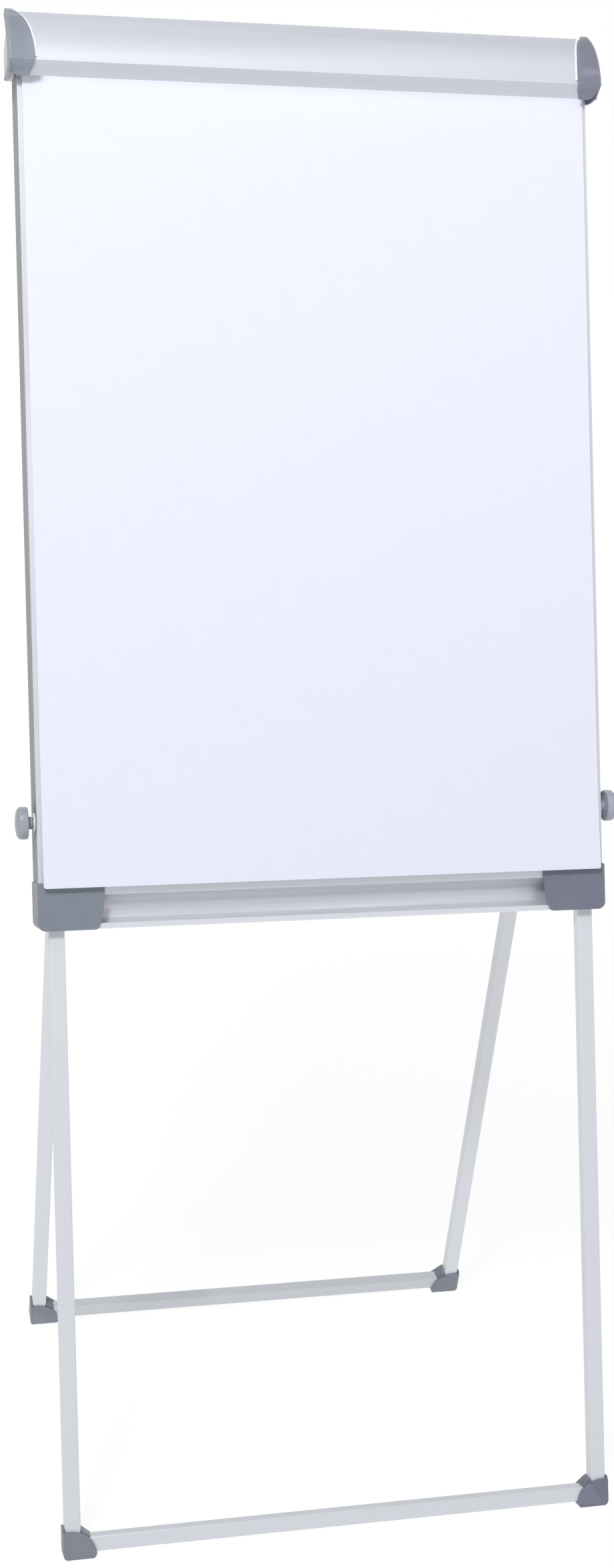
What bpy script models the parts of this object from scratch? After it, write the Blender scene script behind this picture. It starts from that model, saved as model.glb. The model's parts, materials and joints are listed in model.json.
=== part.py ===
"""Folding flipchart easel: telescoping front frame, folding rear frame,
sliding board with clamp bar, pen tray and paper pad.

Frame: +Z up, X across the board, -Y toward the person writing.
Origin on the floor, at the centre of the easel's footprint.  Lengths below are millimetres; MM turns them into metres.

Two working frames are used:
  "F": the leaning front plane.  (x, d, s): x across, d out of the board
       toward the writer, s up along the legs.
  "R": the same for the rear frame, which leans the other way.
"""
import math
import bpy
import bmesh
from mathutils import Matrix, Vector

MM = 0.001

# ---------------------------------------------------------------- dimensions
LEAN_FRONT = 14.0          # front frame and board, degrees from vertical
LEAN_REAR = 15.4           # rear frame, degrees from vertical
SPREAD = 562.8             # front face of front legs to rear legs, at floor
ORIGIN_Y = 290.0           # front legs' front faces to the origin, at floor

TUBE_W = 18.8              # leg tube across
TUBE_D = 17.0              # leg tube front to back
TUBE_R = 2.0               # tube corner radius
TUBE_T = 1.6               # tube wall
BAR_H = 18.0               # crossbar tube height

FRONT_OUT = 334.0          # half width over the front legs
REAR_OUT = 312.7           # half width over the rear legs
FRONT_BAR_S = 6.1          # underside of front crossbar
REAR_BAR_S = 7.3           # underside of rear crossbar
LEG_TOP = 1288.0           # top of the front legs, inside the profiles
PIVOT_S_R = 1060.0         # rear pivot along the rear leg
REAR_TOP = 1075.0          # top of the rear legs

GAP = 0.35                 # clearance between touching pieces

PROF_OUT = 345.5           # half width over the side profiles
PROF_D0, PROF_D1 = -47.0, 8.5
PROF_S0, PROF_S1 = 738.4, 1770.0

TRAY_X = 313.5
CAP_OUT = 347.1
PAD_X = 340.0
PAD_S0, PAD_S1 = 785.0, 1768.0

CLAMP_X = 343.0
CLAMP_PIVOT = (-3.0, 1787.0)   # (d, s) of the clamp bar hinge
SIDE_OUT = 355.4               # half width over the clamp bar caps

KNOB_D, KNOB_S = -8.5, 861.0   # axis of the height clamp knobs

# ---------------------------------------------------------------- scene setup
for o in list(bpy.data.objects):
    bpy.data.objects.remove(o, do_unlink=True)

COL = bpy.data.collections.new("flipchart_easel")
bpy.context.scene.collection.children.link(COL)
CUT = bpy.data.collections.new("cutters")
bpy.context.scene.collection.children.link(CUT)

TF = math.radians(LEAN_FRONT)
TR = math.radians(LEAN_REAR)
FRAME = {
    "F": (Matrix.Translation((0, -ORIGIN_Y * MM, 0))
          @ Matrix.Rotation(-TF, 4, "X")),
    "R": (Matrix.Translation((0, (SPREAD - ORIGIN_Y) * MM, 0))
          @ Matrix.Rotation(TR, 4, "X")),
}


def world(frame, x, d, s):
    """Working-frame point in world metres."""
    return FRAME[frame] @ Vector((x * MM, -d * MM, s * MM))


def to_front(p):
    """World point (metres) to (x, d, s) of the front frame, millimetres."""
    q = FRAME["F"].inverted() @ p
    return q.x / MM, -q.y / MM, q.z / MM


# ---------------------------------------------------------------- materials
def material(name, color, rough, metal=0.0):
    m = bpy.data.materials.new(name)
    m.use_nodes = True
    b = m.node_tree.nodes["Principled BSDF"]
    b.inputs["Base Color"].default_value = (*color, 1.0)
    b.inputs["Roughness"].default_value = rough
    b.inputs["Metallic"].default_value = metal
    m.diffuse_color = (*color, 1.0)
    return m


SILVER = material("silver_paint", (0.66, 0.69, 0.72), 0.35, 0.2)
ALU = material("satin_aluminium", (0.72, 0.75, 0.79), 0.35, 0.7)
GREY = material("grey_plastic", (0.22, 0.25, 0.28), 0.45)
LIGHT = material("light_plastic", (0.70, 0.71, 0.73), 0.45)
WHITE = material("white_enamel", (0.86, 0.87, 0.89), 0.2)
PAPER = material("pad_paper", (0.88, 0.89, 0.93), 0.9)
CORE = material("board_core", (0.50, 0.42, 0.30), 0.9)
ZINC = material("zinc_steel", (0.60, 0.61, 0.62), 0.35, 1.0)
RUBBER = material("black_rubber", (0.03, 0.03, 0.035), 0.8)


# ---------------------------------------------------------------- geometry
def finish(me, name, mat, frame="F", org=(0, 0, 0), sharp=35, col=None):
    """Object from a mesh whose vertices are (x, -d, s) in metres."""
    bm = bmesh.new()
    bm.from_mesh(me)
    o = Vector((org[0] * MM, -org[1] * MM, org[2] * MM))
    bmesh.ops.translate(bm, verts=bm.verts, vec=-o)
    bmesh.ops.remove_doubles(bm, verts=bm.verts, dist=1e-6)
    bmesh.ops.recalc_face_normals(bm, faces=bm.faces)
    bm.to_mesh(me)
    bm.free()
    me.name = name
    ob = bpy.data.objects.new(name, me)
    (col or COL).objects.link(ob)
    ob.matrix_world = FRAME[frame] @ Matrix.Translation(o)
    me.materials.clear()
    me.materials.append(mat)
    me.shade_smooth()
    me.set_sharp_from_angle(angle=math.radians(sharp))
    return ob


AXES = {"s": (0, 1, 2), "x": (1, 2, 0), "d": (0, 2, 1)}


def prism_mesh(loops, axis, a0, a1):
    """Flat outline(s) extruded along x, d or s.  An outline is a list of
    pairs: (x, d) for axis s, (d, s) for axis x, (x, s) for axis d."""
    cu = bpy.data.curves.new("outline", "CURVE")
    cu.dimensions = "2D"
    cu.fill_mode = "BOTH"
    cu.extrude = abs(a1 - a0) / 2 * MM
    for loop in loops:
        sp = cu.splines.new("POLY")
        sp.points.add(len(loop) - 1)
        for p, (a, b) in zip(sp.points, loop):
            p.co = (a * MM, b * MM, 0, 1)
        sp.use_cyclic_u = True
    ob = bpy.data.objects.new("outline", cu)
    bpy.context.scene.collection.objects.link(ob)
    dg = bpy.context.evaluated_depsgraph_get()
    me = bpy.data.meshes.new_from_object(ob.evaluated_get(dg))
    bpy.data.objects.remove(ob, do_unlink=True)
    mid = (a0 + a1) / 2 * MM
    i, j, k = AXES[axis]
    for v in me.vertices:
        c = [0.0, 0.0, 0.0]
        c[i], c[j], c[k] = v.co.x, v.co.y, v.co.z + mid
        v.co = (c[0], -c[1], c[2])
    return me


def prism(name, loops, axis, a0, a1, mat, frame="F", org=(0, 0, 0), **kw):
    return finish(prism_mesh(loops, axis, a0, a1), name, mat, frame, org, **kw)


def box_mesh(x0, x1, d0, d1, s0, s1):
    bm = bmesh.new()
    bmesh.ops.create_cube(bm, size=1.0)
    for v in bm.verts:
        v.co = ((x0 + x1) / 2 + v.co.x * (x1 - x0),
                -((d0 + d1) / 2 + v.co.y * (d1 - d0)),
                (s0 + s1) / 2 + v.co.z * (s1 - s0))
        v.co *= MM
    me = bpy.data.meshes.new("box")
    bm.to_mesh(me)
    bm.free()
    return me


def box(name, x0, x1, d0, d1, s0, s1, mat, frame="F", **kw):
    if x0 > x1:
        x0, x1 = x1, x0
    return finish(box_mesh(x0, x1, d0, d1, s0, s1), name, mat, frame, **kw)


def cyl_mesh(axis, a0, a1, c, r, n=24):
    """Cylinder along x, d or s; c is the centre in the other two."""
    bm = bmesh.new()
    bmesh.ops.create_cone(bm, cap_ends=True, segments=n, radius1=r * MM,
                          radius2=r * MM, depth=abs(a1 - a0) * MM)
    i, j, k = AXES[axis]
    mid = (a0 + a1) / 2 * MM
    for v in bm.verts:
        p = [0.0, 0.0, 0.0]
        p[i], p[j], p[k] = (v.co.x + c[0] * MM, v.co.y + c[1] * MM,
                            v.co.z + mid)
        v.co = (p[0], -p[1], p[2])
    me = bpy.data.meshes.new("cyl")
    bm.to_mesh(me)
    bm.free()
    return me


def cyl(name, axis, a0, a1, c, r, mat, frame="F", n=24, **kw):
    return finish(cyl_mesh(axis, a0, a1, c, r, n), name, mat, frame, **kw)


def cutter(name, me, frame="F"):
    ob = finish(me, name, RUBBER, frame, col=CUT)
    ob.hide_render = True
    ob.display_type = "WIRE"
    return ob


def boolean(ob, other, op="DIFFERENCE"):
    m = ob.modifiers.new(op.lower(), "BOOLEAN")
    m.operation = op
    m.solver = "EXACT"
    m.object = other
    return m


def rounded(x0, x1, y0, y1, r, n=4):
    """Counter-clockwise rounded rectangle."""
    pts = []
    for cx, cy, a in ((x1 - r, y1 - r, 0), (x0 + r, y1 - r, 90),
                      (x0 + r, y0 + r, 180), (x1 - r, y0 + r, 270)):
        for i in range(n + 1):
            t = math.radians(a + 90 * i / n)
            pts.append((cx + r * math.cos(t), cy + r * math.sin(t)))
    return pts


def tube_loops(x0, x1, y0, y1):
    t = TUBE_T
    return [rounded(x0, x1, y0, y1, TUBE_R),
            rounded(x0 + t, x1 - t, y0 + t, y1 - t, 0.8, 2)]


def flip(loops, sx):
    return [[(sx * a, b) for a, b in lp] for lp in loops]


def offset(path, dist):
    """Open polyline moved sideways to the left of its direction."""
    out = []
    n = len(path)
    for i, (a, b) in enumerate(path):
        dirs = []
        if i > 0:
            dirs.append((a - path[i - 1][0], b - path[i - 1][1]))
        if i < n - 1:
            dirs.append((path[i + 1][0] - a, path[i + 1][1] - b))
        ns = []
        for u, v in dirs:
            L = math.hypot(u, v)
            ns.append((-v / L, u / L))
        nx = sum(q[0] for q in ns) / len(ns)
        ny = sum(q[1] for q in ns) / len(ns)
        L2 = nx * nx + ny * ny
        out.append((a + dist * nx / L2, b + dist * ny / L2))
    return out


def arc(cx, cy, r, a0, a1, n):
    return [(cx + r * math.cos(math.radians(a0 + (a1 - a0) * i / n)),
             cy + r * math.sin(math.radians(a0 + (a1 - a0) * i / n)))
            for i in range(n + 1)]


SIDES = (("left", -1), ("right", 1))

# ------------------------------------------------------------- pivot location
PIV = world("R", 0, -TUBE_D / 2, PIVOT_S_R)
_, PIV_D, PIV_S = to_front(PIV)
FOLD = LEAN_FRONT + LEAN_REAR


def leg_tube(name, sx, out, s0, s1, frame):
    a, b = sorted((sx * out, sx * (out - TUBE_W)))
    return prism(name, tube_loops(a, b, -TUBE_D, 0), "s", s0, s1,
                 SILVER, frame)


# ---------------------------------------------------------------- front frame
RIVETS = ((-8.5, 1054.0), (-8.5, 1078.0))
for side, sx in SIDES:
    leg = leg_tube("front_leg_" + side, sx, FRONT_OUT,
                   FRONT_BAR_S + 0.3, LEG_TOP, "F")
    for i, (d, s) in enumerate(RIVETS):
        x0 = sx * (FRONT_OUT - TUBE_W - 2)
        x1 = sx * (FRONT_OUT - TUBE_W + 4)
        boolean(leg, cutter("rivet_hole_%s_%d" % (side, i),
                            cyl_mesh("x", x0, x1, (d, s), 2.65, 12)))

x_bar = FRONT_OUT - TUBE_W - 0.4
prism("front_crossbar",
      [rounded(-TUBE_D, 0, FRONT_BAR_S, FRONT_BAR_S + BAR_H, TUBE_R),
       rounded(-TUBE_D + TUBE_T, -TUBE_T, FRONT_BAR_S + TUBE_T,
               FRONT_BAR_S + BAR_H - TUBE_T, 0.8, 2)],
      "x", -x_bar, x_bar, SILVER, "F")


def foot(name, sx, out, bar_s, frame, tan_floor):
    """Elbow foot: socket for a leg and a crossbar, quarter-round front
    plate, gusset between the tubes and a base cut level with the floor."""
    o = out + 2.6
    b = bar_s - FRONT_BAR_S
    low = -7.0
    body = [(o, 5.6), (o, 34.6 + b), (o - 0.5, 35.1 + b), (o - 2.2, 35.1 + b),
            (o - 2.6, 34.6 + b), (o - 3.0, 33.4 + b),
            (o - 21.6, 33.0 + b), (o - 25.0, 31.0 + b), (o - 32.3, 24.9 + b),
            (o - 38.8, 20.0 + b), (o - 39.8, 6.6), (o - 39.3, 3.4),
            (o - 38.0, 1.1), (o - 36.2, -0.4), (o - 34.6, -1.1),
            (o - 34.6, low), (o - 5.6, low), (o - 5.6, -1.1),
            (o - 3.7, -0.3), (o - 1.9, 1.1), (o - 0.6, 3.1)]
    # the front plate keeps only what lies inside its quarter round
    trim = [(o + 6, 31.0 + b), (o - 4.5, 32.2 + b), (o - 12.6, 31.8 + b),
            (o - 21.6, 29.9 + b), (o - 27.1, 27.0 + b), (o - 31.6, 23.2 + b),
            (o - 35.6, 18.0 + b), (o - 38.3, 12.0), (o - 39.5, 6.2),
            (o - 50, 5.0), (o - 50, 60), (o + 6, 60)]
    ft = prism(name, flip([body], sx), "d", -TUBE_D - 2.0, 2.4, GREY, frame)
    boolean(ft, cutter(name + "_trim", prism_mesh(
        flip([trim], sx), "d", 0.15, 10.0), frame))
    base = bar_s - GAP
    ell = [(out + GAP, base), (out + GAP, 70), (out - TUBE_W - GAP, 70),
           (out - TUBE_W - GAP, bar_s + BAR_H + GAP),
           (out - 60, bar_s + BAR_H + GAP), (out - 60, base)]
    boolean(ft, cutter(name + "_socket", prism_mesh(
        flip([ell], sx), "d", -TUBE_D - GAP, GAP), frame))
    # level base
    fl = box_mesh(-1, 1, -1, 1, -1, 1)
    for v in fl.vertices:
        w = Vector((v.co.x * 500, v.co.y * 500, v.co.z * 30 - 0.030))
        w.x += sx * out * MM
        w.y += (-ORIGIN_Y if frame == "F" else SPREAD - ORIGIN_Y) * MM
        v.co = FRAME[frame].inverted() @ w
    boolean(ft, cutter(name + "_floor", fl, frame))
    return ft


for side, sx in SIDES:
    foot("front_foot_" + side, sx, FRONT_OUT, FRONT_BAR_S, "F", 0)

for side, sx in SIDES:
    # nylon plug that guides the top of the leg inside the profile
    x0, x1 = sorted((sx * (FRONT_OUT - TUBE_W + 0.2), sx * (FRONT_OUT - 0.2)))
    pl = box("leg_glide_" + side, x0, x1, -TUBE_D + 0.2, -0.2,
             LEG_TOP + GAP, LEG_TOP + 6, GREY)
    c = TUBE_T + GAP
    boolean(pl, cutter("leg_glide_spigot_" + side, box_mesh(
        x0 + c, x1 - c, -TUBE_D + c + 0.2, -c - 0.2, LEG_TOP - 18,
        LEG_TOP + 3)), "UNION")

# rear hinge plates, riveted to the inner faces of the front legs
PL0, PL1 = REAR_OUT + GAP, FRONT_OUT - TUBE_W - GAP
STOP = (PIV_D + 15.9, PIV_S + 4.9)
for side, sx in SIDES:
    outline = ([(-1.5, 1046.0), (-1.5, 1086.0), (-4.0, 1088.0),
                (-20.0, 1088.0)]
               + arc(PIV_D, PIV_S, 10.5, 70, 245, 10)
               + [(-24.0, 1044.5), (-4.0, 1043.5)])
    pt = prism("hinge_plate_" + side, [outline[::-1]], "x",
               sx * PL0, sx * PL1, ZINC)
    boolean(pt, cutter("pivot_hole_" + side, cyl_mesh(
        "x", sx * (PL0 - 2), sx * (PL1 + 2), (PIV_D, PIV_S), 4.35, 20)))
    boolean(pt, cutter("stop_hole_" + side, cyl_mesh(
        "x", sx * (PL0 - 2), sx * (PL1 + 2), STOP, 2.75, 12)))
    for i, (d, s) in enumerate(RIVETS):
        boolean(pt, cutter("plate_rivet_hole_%s_%d" % (side, i), cyl_mesh(
            "x", sx * (PL0 - 2), sx * (PL1 + 2), (d, s), 2.65, 12)))
        lvl = ("lower", "upper")[i]
        rv = cyl("hinge_rivet_%s_%s" % (side, lvl), "x",
                 sx * (PL0 - 1.9), sx * (PL0 - GAP), (d, s), 4.0, ZINC, n=16)
        boolean(rv, cutter("rivet_shank_%s_%s" % (side, lvl), cyl_mesh(
            "x", sx * (PL0 - 1.2), sx * (PL1 + 3.4), (d, s), 2.3, 12)),
            "UNION")
    cyl("hinge_stop_" + side, "x", sx * (PL0 - 16), sx * PL1, STOP, 2.4,
        ZINC, n=16)

# ----------------------------------------------------------------- rear frame
HINGE = bpy.data.objects.new("rear_frame_axis", None)
COL.objects.link(HINGE)
HINGE.location = PIV
REAR_PARTS = []
for side, sx in SIDES:
    leg = leg_tube("rear_leg_" + side, sx, REAR_OUT, REAR_BAR_S + 0.3,
                   REAR_TOP, "R")
    boolean(leg, cutter("rear_pivot_hole_" + side, cyl_mesh(
        "x", sx * (REAR_OUT - TUBE_W - 3), sx * (REAR_OUT + 3),
        (-TUBE_D / 2, PIVOT_S_R), 4.35, 20), "R"))
    REAR_PARTS.append(leg)
    ft = foot("rear_foot_" + side, sx, REAR_OUT, REAR_BAR_S, "R", 0)
    REAR_PARTS.append(ft)
    x0, x1 = sorted((sx * (REAR_OUT - TUBE_W + 0.1), sx * (REAR_OUT - 0.1)))
    pl = box("rear_leg_plug_" + side, x0, x1, -TUBE_D + 0.1, -0.1,
             REAR_TOP + GAP, REAR_TOP + 2.6, GREY, "R")
    c = TUBE_T + GAP
    boolean(pl, cutter("rear_plug_spigot_" + side, box_mesh(
        x0 + c, x1 - c, -TUBE_D + c + 0.1, -c - 0.1, REAR_TOP - 7,
        REAR_TOP + 1.5), "R"), "UNION")
    REAR_PARTS.append(pl)
    c0 = (-TUBE_D / 2, PIVOT_S_R)
    bt = cyl("pivot_bolt_" + side, "x", sx * (REAR_OUT - TUBE_W - 4.6),
             sx * (REAR_OUT - TUBE_W - GAP), c0, 6.5, ZINC, "R", n=20)
    boolean(bt, cutter("pivot_shank_" + side, cyl_mesh(
        "x", sx * (REAR_OUT - TUBE_W - 2), sx * (PL1 + 2), c0, 4.0, 20),
        "R"), "UNION")
    boolean(bt, cutter("pivot_nut_" + side, cyl_mesh(
        "x", sx * (PL1 + GAP), sx * (PL1 + 4.4), c0, 6.5, 20), "R"), "UNION")
    REAR_PARTS.append(bt)

x_bar = REAR_OUT - TUBE_W - 0.4
REAR_PARTS.append(prism(
    "rear_crossbar",
    [rounded(-TUBE_D, 0, REAR_BAR_S, REAR_BAR_S + BAR_H, TUBE_R),
     rounded(-TUBE_D + TUBE_T, -TUBE_T, REAR_BAR_S + TUBE_T,
             REAR_BAR_S + BAR_H - TUBE_T, 0.8, 2)],
    "x", -x_bar, x_bar, SILVER, "R"))
bpy.context.view_layer.update()
for ob in REAR_PARTS:
    ob.parent = HINGE
    ob.matrix_parent_inverse = HINGE.matrix_world.inverted()

# ---------------------------------------------------------------- the board
# side profile: outer wall with a lip for the board edge, a groove rib, and
# a channel that the front leg slides in
prof = [(PROF_OUT, PROF_D0), (PROF_OUT, 7.7), (PROF_OUT - 0.8, PROF_D1),
        (339.5, PROF_D1), (339.5, 7.2), (343.7, 7.2), (343.7, 0.9),
        (334.6, 0.9), (334.6, -19.0), (317.0, -19.0), (317.0, -20.6),
        (343.7, -20.6), (343.7, PROF_D0 + 1.6), (326.0, PROF_D0 + 1.6),
        (326.0, PROF_D0)]
hole = [(336.0, -0.7), (343.7, -0.7), (343.7, -19.0), (336.0, -19.0)]
for side, sx in SIDES:
    p = prism("side_profile_" + side, flip([prof, hole], sx), "s",
              PROF_S0, PROF_S1, ALU)
    boolean(p, cutter("knob_hole_" + side, cyl_mesh(
        "x", sx * 330, sx * 350, (KNOB_D, KNOB_S), 4.2, 16)))

box("board_back_sheet", -343.2, 343.2, 1.25, 1.75, 791.2, 1768, SILVER)
box("board_core", -343.2, 343.2, 2.1, 5.8, 791.2, 1768, CORE)
box("board_face_sheet", -343.2, 343.2, 6.15, 6.85, 791.2, 1768, WHITE)

# hat-shaped rail across the back of the board
hat = [(0.8, 1548), (0.8, 1560), (-13.5, 1566), (-13.5, 1590), (0.8, 1596),
       (0.8, 1608), (-0.7, 1608), (-0.7, 1597.2), (-15, 1591.2),
       (-15, 1564.8), (-0.7, 1558.8), (-0.7, 1548)]
prism("rear_stiffener", [hat], "x", -334.2, 334.2, SILVER)

# pen tray: top lip, rounded trough and a low front lip
tray = [(8.0, 790.5), (8.0, 776.0), (3.0, 775.2), (-4.0, 772.5),
        (-9.6, 768.2), (-12.8, 762.0), (-13.4, 754.5), (-11.2, 747.2),
        (-5.6, 741.6), (1.0, 739.3), (6.2, 738.6), (6.2, 742.4), (8.0, 742.4),
        (8.0, 736.4), (7.4, 735.9), (-8.0, 735.9), (-14.0, 738.5),
        (-17.5, 744.5), (-17.5, 790.5)]
chamber = [(-15.7, 788.7), (6.2, 788.7), (6.2, 777.8), (2.4, 777.0),
           (-5.0, 774.1), (-11.0, 769.6), (-14.4, 764.0), (-15.7, 764.0)]
prism("pen_tray", [tray, chamber], "x", -TRAY_X, TRAY_X, ALU)

for side, sx in SIDES:
    out = ([(268.3, 791.0), (268.8, 777.0), (269.9, 762.0), (272.3, 749.0),
            (275.9, 738.0), (278.6, 735.6), (281.0, 735.2)]
           + arc(CAP_OUT - 9, 744.2, 9, 270, 360, 6)
           + [(CAP_OUT, 789.5), (CAP_OUT - 1.5, 791.0)])
    cp = prism("tray_cap_" + side, flip([out], sx), "d", -48.6, 10.6, GREY)
    xs = sorted((sx * 255, sx * 313.9))
    boolean(cp, cutter("tray_cap_inner_" + side, box_mesh(
        *xs, -60, 8.35, 730, 800)))
    xs = sorted((sx * 310, sx * (PROF_OUT + GAP)))
    boolean(cp, cutter("tray_cap_socket_" + side, box_mesh(
        *xs, PROF_D0 - GAP, PROF_D1 - 0.0 + GAP, 738.05, 800)))
    xs = sorted((sx * 314.7, sx * 334.5))
    boolean(cp, cutter("tray_cap_leg_hole_" + side, box_mesh(
        *xs, -17.5, 0.5, 725, 745)))

# paper pad, standing off at its lower edge where it passes the tray lip
front = [(13.3, PAD_S1), (13.3, 1728.3), (13.0, 1728.0), (13.0, 950), (13.3, 905), (14.3, 865), (15.8, 825),
         (18.3, PAD_S0)]
back = [(12.9, PAD_S0 + 0.3), (11.2, 805), (10.0, 835), (9.2, 875),
        (8.85, 930), (8.85, PAD_S1)]
pad = prism("paper_pad", [front + back], "x", -PAD_X, PAD_X, PAPER)
HOOKS = ((-140.0, 1750.0), (140.0, 1750.0))
for i, (x, s) in enumerate(HOOKS):
    boolean(pad, cutter("pad_hole_%d" % i, cyl_mesh(
        "d", 0, 30, (x, s), 4.6, 20)))
for (side, sx), (x, s) in zip(SIDES, HOOKS):
    hk = cyl("pad_hook_" + side, "d", 7.2, 8.5, (x, s), 9.0, ZINC, n=24)
    boolean(hk, cutter("hook_peg_" + side, cyl_mesh(
        "d", 7.8, 17.5, (x, s), 3.6, 16)), "UNION")
    boolean(hk, cutter("hook_head_" + side, cyl_mesh(
        "d", 14.6, 16.6, (x, s + 0.6), 4.1, 16)), "UNION")

# top rail and its end plates
rail = rounded(-44.0, -2.0, 1770.35, 1788.5, 2.0, 3)
rail_hole = rounded(-42.0, -4.0, 1772.35, 1786.5, 1.0, 2)
prism("top_rail", [rail, rail_hole], "x", -345.5, 345.5, ALU)

PD, PS = CLAMP_PIVOT
rail_cap = [(-40, 1730.2), (-34, 1728.5), (0, 1728.5), (4.5, 1733), (4.0, 1768),
            (2.5, 1784), (1.2, 1789), (-2.0, 1791.5), (-7.0, 1791.5),
            (-14, 1789), (-34, 1780.5), (-48, 1776.8), (-54.5, 1774),
            (-58.6, 1769), (-60.2, 1761), (-60.4, 1751), (-59.0, 1743.5),
            (-55.4, 1738.6), (-49, 1735)]
for side, sx in SIDES:
    rc = prism("top_rail_cap_" + side, [rail_cap], "x", sx * 345.85,
               sx * 352.8, LIGHT)
    boolean(rc, cutter("clamp_pin_hole_" + side, cyl_mesh(
        "x", sx * 340, sx * 360, (PD, PS), 2.55, 16)))
    cyl("clamp_pivot_pin_" + side, "x", sx * 346.2, sx * 355.2, (PD, PS), 2.2,
        ZINC, n=16)

# --------------------------------------------------------------- clamp bar
T = (-4.6, 1799.6)
K = (36.0, 1732.4)
B = (20.5, 1718.6)
SAG = 9.0
nx, ny = 0.856, 0.517
face = []
for i in range(13):
    t = i / 12
    b = 4 * SAG * t * (1 - t)
    face.append((T[0] + t * (K[0] - T[0]) + b * nx,
                 T[1] + t * (K[1] - T[1]) + b * ny))
# slightly eased crease
face[-1] = (35.5, 1733.3)
face += [(36.1, 1731.6), (35.4, 1730.6), (28.0, 1725.0), B]
inner = offset(face, -2.0)
CORG = (0, PD, PS)
prism("clamp_bar", [face + inner[::-1]], "x", -CLAMP_X, CLAMP_X, ALU,
      org=CORG)
prism("clamp_strip", [[(13.4, 1722.6), (18.7, 1720.9), (26.4, 1727.6),
                       (23.5, 1731.0), (13.4, 1729.0)]], "x", -320, 320,
      RUBBER, org=CORG)

# the caps reach a little past the bar's top edge
ex, ey = T[0] - face[1][0], T[1] - face[1][1]
el = math.hypot(ex, ey)
skin = [(T[0] + 3.8 * ex / el, T[1] + 3.8 * ey / el)] + face
skin_in = offset(skin, GAP)
skin_out = offset(skin, 1.85)
side_plate = (offset(skin, 2.05)[:-3]
              + [(36.4, 1730.0), (31.5, 1726.6), (25.0, 1722.6),
                 (19.0, 1720.2), (11.0, 1719.0), (3.0, 1719.2),
                 (-6.0, 1720.4), (-15.0, 1722.4), (-25.0, 1725.4),
                 (-34.0, 1728.8), (-38.0, 1731.0), (-38.2, 1732.4),
                 (-34.0, 1732.6), (-26.0, 1731.8), (-16.0, 1731.8),
                 (-8.0, 1733.0), (-1.0, 1735.2), (4.0, 1738.8),
                 (7.0, 1743.6), (7.6, 1748.0), (6.4, 1753.2),
                 (3.4, 1761.0), (-1.0, 1771.0), (-6.0, 1780.0),
                 (-13.0, 1790.6), (-19.6, 1798.6), (-21.6, 1801.4),
                 (-20.6, 1803.0), (-17.0, 1803.8), (-12.0, 1804.0)])
# lower outer corner, rounded off across the flange below the crease
corner = [(353.2, 1724.8), (352.2, 1722.6), (350.2, 1720.4), (347.6, 1718.6),
          (344.6, 1717.4), (344.6, 1708), (353.2, 1708)]
cut_line = [(349.0, 1808), (345.4, 1800.4), (341.2, 1795.0), (337.0, 1788.6),
            (333.4, 1780.5), (330.6, 1770), (328.3, 1758), (326.9, 1745),
            (326.2, 1733), (327.8, 1726), (331.2, 1720.5), (333.5, 1716),
            (336, 1708)]
for side, sx in SIDES:
    cp = prism("clamp_cap_" + side, [skin_out + skin_in[::-1]], "x",
               sx * 324, sx * 354.5, GREY, org=CORG)
    boolean(cp, cutter("clamp_side_" + side, prism_mesh(
        [side_plate], "x", sx * 353.2, sx * SIDE_OUT)), "UNION")
    boolean(cp, cutter("clamp_cap_cut_" + side, prism_mesh(
        flip([cut_line + [(315, 1708), (315, 1808)]], sx), "d", -20, 60)))
    boolean(cp, cutter("clamp_cap_corner_" + side, prism_mesh(
        flip([corner], sx), "d", 16, 60)))
    boolean(cp, cutter("clamp_cap_pin_" + side, cyl_mesh(
        "x", sx * 345, sx * 360, (PD, PS), 2.55, 16)))

# ------------------------------------------------------------ height clamps
# turned knob: radius against distance along its axis, from the bore outward
KNOB = [(0.0, 360.0), (3.9, 360.0), (3.9, 349.2), (7.6, 349.2), (7.6, 354.2),
        (16.6, 354.2), (18.4, 355.0), (19.2, 356.6), (19.2, 361.4),
        (18.9, 363.4), (18.0, 365.2), (16.6, 366.4), (14.2, 367.5),
        (10.0, 368.6), (5.0, 369.1), (0.0, 369.2)]
for side, sx in SIDES:
    ring = arc(KNOB_D, KNOB_S, 11.5, 0, 345, 23)
    ring_in = arc(KNOB_D, KNOB_S, 5.2, 0, 345, 23)
    prism("knob_collar_" + side, [ring, ring_in], "x", sx * 345.85,
          sx * 348.6, LIGHT)
    me = bpy.data.meshes.new("clamp_knob_" + side)
    # the profile runs down the outer side, so the outer end is the top
    pts = [(r * MM, 0.0, (a - 345.5) * MM) for r, a in KNOB[::-1]]
    me.from_pydata(pts, [(i, i + 1) for i in range(len(pts) - 1)], [])
    kn = bpy.data.objects.new("clamp_knob_" + side, me)
    COL.objects.link(kn)
    sc = kn.modifiers.new("turn", "SCREW")
    sc.steps = sc.render_steps = 40
    sc.use_merge_vertices = True
    sc.merge_threshold = 0.00002
    sc.use_smooth_shade = True
    me.materials.append(GREY)
    org = world("F", sx * 345.5, KNOB_D, KNOB_S)
    kn.matrix_world = (Matrix.Translation(org) @ FRAME["F"].to_3x3().to_4x4()
                       @ Matrix.Rotation(sx * math.pi / 2, 4, "Y"))
    cyl("clamp_stud_" + side, "x", sx * (FRONT_OUT + GAP), sx * 359.6,
        (KNOB_D, KNOB_S), 3.5, ZINC, n=20, org=(sx * 345.5, KNOB_D, KNOB_S))
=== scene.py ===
"""Looks of the folding flipchart easel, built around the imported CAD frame."""
import json
import math

import bmesh
import bpy
from mathutils import Matrix, Vector, noise

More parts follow.
